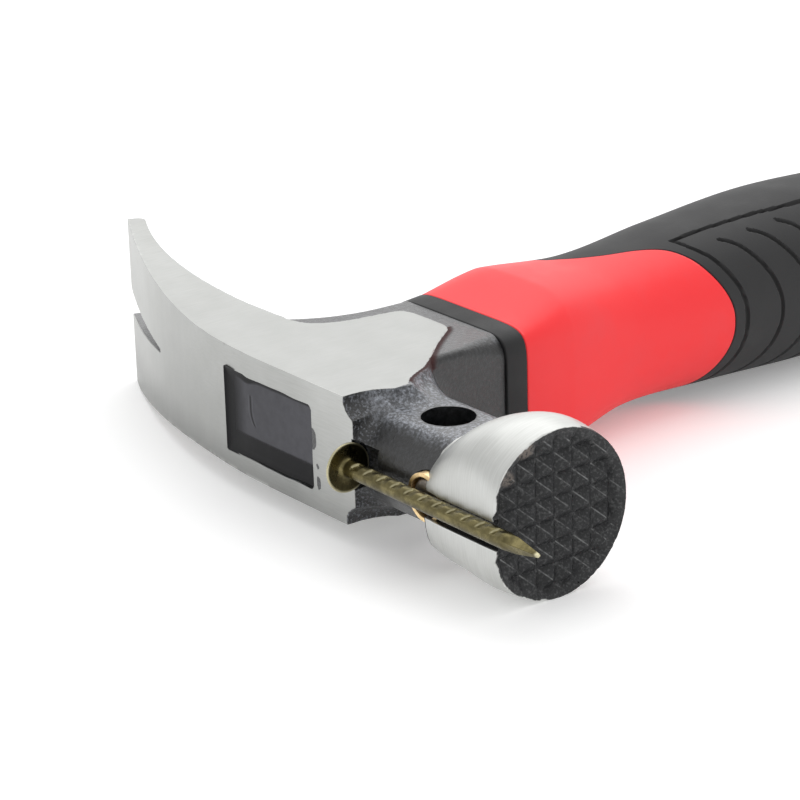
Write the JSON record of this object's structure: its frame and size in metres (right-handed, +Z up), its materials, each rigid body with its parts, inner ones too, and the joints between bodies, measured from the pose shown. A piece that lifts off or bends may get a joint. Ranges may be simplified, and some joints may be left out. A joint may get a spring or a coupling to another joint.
{
  "type": "stubby claw hammer",
  "caption": "Short claw hammer lying on its side: forged head with split claw, milled striking face and magnetic nail starter holding a nail, on a moulded handle with a rubber grip.",
  "frame": {"origin": "under the middle of the hammer's box, at the height of its lowest point, with the hammer lying on its side", "axes": "+X from the eye to the striking face, +Y along the handle to the butt, +Z up, square to the flat cheeks"},
  "size_m": [0.1282, 0.1704, 0.0292],
  "materials": {
    "forged_steel": "ground bright on crown, claw and bell, black painted forging elsewhere",
    "epoxy_resin": "poured, glossy",
    "glass_fibre": "pultruded rod",
    "red_plastic": "moulded, satin",
    "black_plastic": "moulded, satin",
    "grip_rubber": "moulded, matte",
    "copper": "pressed, bright",
    "magnet_steel": "dull",
    "yellow_zinc": "yellow passivated zinc"
  },
  "bodies": {
    "hammer": {"head": "forged_steel", "eye_resin": "epoxy_resin", "handle_core": "glass_fibre", "handle_body": "red_plastic", "collar": "black_plastic", "grip": "grip_rubber", "magnet_bush": "copper", "magnet": "magnet_steel"},
    "nail": {"nail": "yellow_zinc"}
  },
  "joints": [
    {"name": "nail_lift", "type": "slide", "parent": "hammer", "child": "nail", "axis": [0, -1, 0], "range_m": [0, 0.03]}
  ]
}
